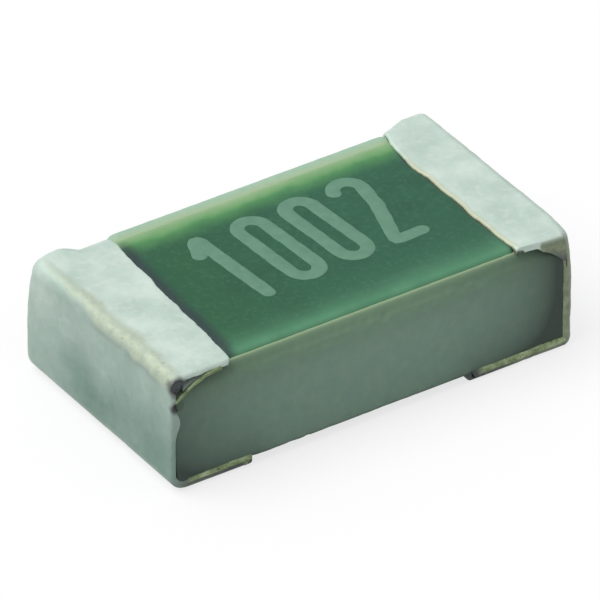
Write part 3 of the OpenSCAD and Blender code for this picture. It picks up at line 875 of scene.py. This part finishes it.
def layered(name, ground, layers, relief=None, **uniform):
    material = bpy.data.materials.new(name)
    material.use_nodes = True
    tree = material.node_tree
    shader = tree.nodes["Principled BSDF"]
    for title, value in uniform.items():
        shader.inputs[title.replace("_", " ")].default_value = value
    point = add(tree, "ShaderNodeTexCoord").outputs["Object"]
    colour = to_linear(ground)
    for layer in layers:
        share, parts = layer.get("share", 1.0), []
        if "grain" in layer:
            noise = add(tree, "ShaderNodeTexNoise", {
                "Vector": point, "Scale": 1 / (layer["grain"] * MM),
                "Detail": layer.get("detail", NOISE_DETAIL), "Roughness": NOISE_HARSH})
            parts.append((noise.outputs["Fac"], layer["levels"]))
        if "where" in layer:
            paint = add(tree, "ShaderNodeAttribute", attribute_name=layer["where"])
            parts.append((paint.outputs["Fac"], layer.get("reach", (0.0, 1.0))))
        for value, (low, high) in parts:
            part = add(tree, "ShaderNodeMapRange", {"Value": value, "From Min": low, "From Max": high})
            share = add(tree, "ShaderNodeMath", {0: part, 1: share}, operation="MULTIPLY")
        over = to_linear(layer["colour"])
        mix = add(tree, "ShaderNodeMix", {0: share, 6: colour, 7: over}, data_type="RGBA")
        colour = mix.outputs[2]
    tree.links.new(colour, shader.inputs["Base Color"])
    if relief:
        grain, depth, strength = relief
        noise = add(tree, "ShaderNodeTexNoise", {
            "Vector": point, "Scale": 1 / (grain * MM), "Detail": NOISE_DETAIL, "Roughness": NOISE_HARSH})
        height = add(tree, "ShaderNodeBump",
                     {"Height": noise, "Distance": depth * MM, "Strength": strength})
        tree.links.new(height.outputs["Normal"], shader.inputs["Normal"])
    return material


MATERIALS = {}

# Matt tin plating: a pale grey-green, softly clouded metal skin with a fine grain that scatters its shine;
# pale buff along the welt, olive where it is worn off its front edges, a pale buff painted highlight along
# the right border and a painted highlight on the ledges of the feet, painted shade low on the ends, in the
# hollows, groove and crease, under the lip and along the feet
MATERIALS["tin"] = layered("matt_plated_tin", "#cce1d5", (
    dict(colour="#e1f3e8", grain=0.20, levels=(0.36, 0.66), detail=5.0),
    dict(colour="#eff8f2", grain=0.045, levels=(0.50, 0.74), share=0.45),
    # Painted shade low on the ends
    dict(colour="#739588", grain=0.14, levels=(-1.2, 0.9), where="end_shade"),
    dict(colour="#b8c5ae", where="welt", reach=(0.1, 0.95), share=0.85),
    dict(colour="#d0dcc6", grain=0.04, levels=(0.36, 0.66), where="welt", reach=(0.1, 0.8)),
    dict(colour="#95a08a", grain=0.020, levels=(0.60, 0.76), where="welt", reach=(0.1, 0.6),
     share=0.6),
    # Painted highlight along the right border
    dict(colour="#cfcc9f", where="border_highlight", share=0.7),
    dict(colour="#78826a", where="worn", reach=(0.45, 1.0)),
    dict(colour="#a7b497", grain=0.05, levels=(0.34, 0.68), where="worn", reach=(0.45, 1.0)),
    # Painted highlight on the ledges of the feet
    dict(colour="#849a6b", where="ledge_highlight"),
    dict(colour="#c8d6ae", grain=0.05, levels=(0.38, 0.70), where="ledge_highlight"),
    # Painted shade in the hollows, groove and crease, under the lip and along the feet
    dict(colour="#50555a", where="broken"),
), relief=(0.02, 0.004, 0.3), Metallic=0.35, Roughness=0.58)

# Fired alumina: a matt, faintly see-through ceramic with a sandy snapped grain;
# painted shade where the caps and the underside swallow the light, and a painted green glow next to the coat
MATERIALS["ceramic"] = layered("fired_alumina_snapped", "#a1c8b4", (
    dict(colour="#afd1bb", grain=0.05, levels=(0.3, 0.7), detail=4.0),
    dict(colour="#aec192", where="rim", share=0.8),
    # Painted green glow of light through the coat
    dict(colour="#8aaf8a", where="coat_glow", share=0.9),
    # Painted shade where light is lost in the ceramic
    dict(colour="#2f4037", where="dark"),
), relief=(0.018, 0.003, 0.35), Roughness=0.62, Subsurface_Weight=0.15, Subsurface_Scale=0.06 * MM)

# Green epoxy lacquer: a satin, slightly uneven film, bluer to the right, lighter along its front edge,
# yellowish and see-through where it thins out at the back, with a painted shadow along its borders with the
# caps
MATERIALS["coat"] = layered("green_epoxy_lacquer", "#2b6242", (
    dict(colour="#2d644c", where="bluer"),
    dict(colour="#26573f", grain=0.20, levels=(0.35, 0.7), share=0.6, detail=4.0),
    dict(colour="#528b6c", grain=0.022, levels=(0.5, 0.8), share=0.32),
    dict(colour="#67a57f", where="near"),
    dict(colour="#5da061", where="thin", reach=(0.0, 0.6)),
    dict(colour="#a2c091", where="thin", reach=(0.42, 1.0), share=0.9),
    # Painted shadow along the borders with the caps
    dict(colour="#2f3743", where="border_shadow", share=0.8),
), relief=(0.03, 0.002, 0.3), Roughness=0.46, Specular_IOR_Level=0.35)

# Printed marking ink: a thin matt grey-green film with slightly uneven cover
MATERIALS["ink"] = layered("printed_marking_ink", "#618e76", (
    dict(colour="#6c9a81", grain=0.05, levels=(0.3, 0.75)),
), Roughness=0.6)

# Grown nodules: tin over nickel in small olive beads along the edges
MATERIALS["nodule"] = layered("grown_tin_nodules", "#6c7f58", (
    dict(colour="#a0b286", grain=0.05, levels=(0.38, 0.68)),
), Metallic=0.4, Roughness=0.48)

# The layers inside, each with the fine cloudiness of its own powder or bath: fired silver is pale and satin,
# plated nickel a warm grey, the resistive glaze near black, the glass clear green.
# Each row: name, ground, colour and grain of its clouds, grain of its relief, surface
CLOUDED, INNER_RELIEF, INNER_STRENGTH = (0.3, 0.7), 0.002, 0.3
INNER_LAYERS = {
    "silver": ("fired_silver_print", "#a9aca6", "#c9cbc4", 0.06, 0.020, {"Metallic": 0.8, "Roughness": 0.45}),
    "nickel": ("plated_nickel", "#7d7960", "#a09b7c", 0.05, 0.017, {"Metallic": 0.8, "Roughness": 0.4}),
    "film": ("fired_resistive_glaze", "#1b1c1d", "#2c2e2f", 0.05, 0.017, {"Roughness": 0.5}),
    "glass": ("fired_cover_glass", "#5e8a6d", "#79a587", 0.08, 0.027, {"Roughness": 0.25}),
}
for slot, (name, ground, clouds, grain, relief, surface) in INNER_LAYERS.items():
    MATERIALS[slot] = layered(name, ground, [dict(colour=clouds, grain=grain, levels=CLOUDED)],
                              relief=(relief, INNER_RELIEF, INNER_STRENGTH), **surface)


# Hands a finished piece its place in the frame, and its material where it replaces a solid
def fit(piece, slot, node=None):
    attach(piece, "root")
    if node:
        piece.data.materials.append(MATERIALS[slot])
        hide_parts(node)


# Solids that stay as they are, under the coat and inside the caps, get their materials
NODE_FINISH = {"contact": "silver", "nickel": "nickel", "film": "film", "glass": "glass"}
for name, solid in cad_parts.items():
    for word, finish in NODE_FINISH.items():
        if word in name:
            for holder in solid.material_slots:
                holder.material = MATERIALS[finish]

fit(ceramic_block(), "ceramic", "ceramic_substrate")
fit(coat_skin(), "coat", "protective_coat")
growth = growth_tree()
for side in (LEFT, RIGHT):
    for skin, finish, node in cap_skins(side):
        if finish == "tin":
            fit(plating_nodules(side, skin, growth), "tin")
        fit(skin, finish, node)
stroke = stroke_tree()
fit(torn_edge(stroke), "tin")
fit(value_code(stroke), "ink")


# Studio: a pale floor that looks white to the lens, an even sky and one soft key from behind left
FLOOR_HALF, FLOOR_Z, FLOOR_GREY, FLOOR_GLOW = 60.0, -0.002, 0.30, 0.72
KEY_DIRECTION = Vector((-0.45, 0.22, 0.86))
KEY_STRENGTH, KEY_SOFTNESS = 1.55, 50.0
SKY_STRENGTH = 0.52
WHITE = (1, 1, 1, 1)


# The floor is clear from below, so that the underside of the part can be seen
def studio_floor():
    h, z = FLOOR_HALF, FLOOR_Z
    corners = [(-h, -h, z), (h, -h, z), (h, h, z), (-h, h, z)]
    floor = make_object("studio_floor", corners, [(0, 1, 2, 3)], recalculate=False)
    material = bpy.data.materials.new("pale_studio_floor")
    material.use_nodes = True
    tree = material.node_tree
    tree.nodes.clear()
    path = add(tree, "ShaderNodeLightPath").outputs
    seen = add(tree, "ShaderNodeMath",
               {0: path["Is Camera Ray"], 1: path["Is Glossy Ray"]}, operation="MAXIMUM")
    seen = add(tree, "ShaderNodeMath", {0: seen, 1: path["Is Transmission Ray"]}, operation="MAXIMUM")
    soft = add(tree, "ShaderNodeBsdfDiffuse", {"Color": (FLOOR_GREY, FLOOR_GREY, FLOOR_GREY, 1)})
    glow = add(tree, "ShaderNodeEmission", {"Color": WHITE, "Strength": FLOOR_GLOW})
    white = add(tree, "ShaderNodeAddShader", {0: soft, 1: glow})
    front = add(tree, "ShaderNodeMixShader", {0: seen, 1: soft, 2: white})
    clear = add(tree, "ShaderNodeBsdfTransparent")
    below = add(tree, "ShaderNodeNewGeometry").outputs["Backfacing"]
    both = add(tree, "ShaderNodeMixShader", {0: below, 1: front, 2: clear})
    add(tree, "ShaderNodeOutputMaterial", {"Surface": both})
    floor.data.materials.append(material)


def studio_light():
    sun = bpy.data.lights.new("soft_key", "SUN")
    sun.energy = KEY_STRENGTH
    sun.angle = math.radians(KEY_SOFTNESS)
    key = new_object("soft_key", sun)
    key.rotation_euler = KEY_DIRECTION.to_track_quat("Z", "Y").to_euler()
    world = bpy.data.worlds.new("even_sky")
    world.use_nodes = True
    background = world.node_tree.nodes["Background"]
    background.inputs["Color"].default_value = WHITE
    background.inputs["Strength"].default_value = SKY_STRENGTH
    bpy.context.scene.world = world


def photo_camera():
    a, e = math.radians(CAMERA_AZIMUTH), math.radians(CAMERA_ELEVATION)
    right = Vector((math.cos(a), -math.sin(a), 0))
    up = Vector((math.sin(a) * math.sin(e), math.cos(a) * math.sin(e), math.cos(e)))
    back = Vector((-math.sin(a) * math.cos(e), -math.cos(a) * math.cos(e), math.sin(e)))
    half = IMAGE_PX / 2
    aim = right * ((half - ORIGIN_PX[0]) / PX_PER_MM) + up * ((ORIGIN_PX[1] - half) / PX_PER_MM)
    distance = CAMERA_LENS / SENSOR * IMAGE_PX / PX_PER_MM
    lens = bpy.data.cameras.new("photo_camera")
    lens.lens = CAMERA_LENS
    lens.sensor_width = SENSOR
    lens.clip_start = CLIP_NEAR * MM
    lens.clip_end = CLIP_FAR * MM
    camera = new_object("photo_camera", lens)
    turn = Matrix((right, up, back)).transposed().to_4x4()
    camera.matrix_world = Matrix.Translation((aim + back * distance) * MM) @ turn
    bpy.context.scene.camera = camera


studio_floor()
studio_light()
photo_camera()
bpy.context.scene.view_settings.view_transform = "Standard"
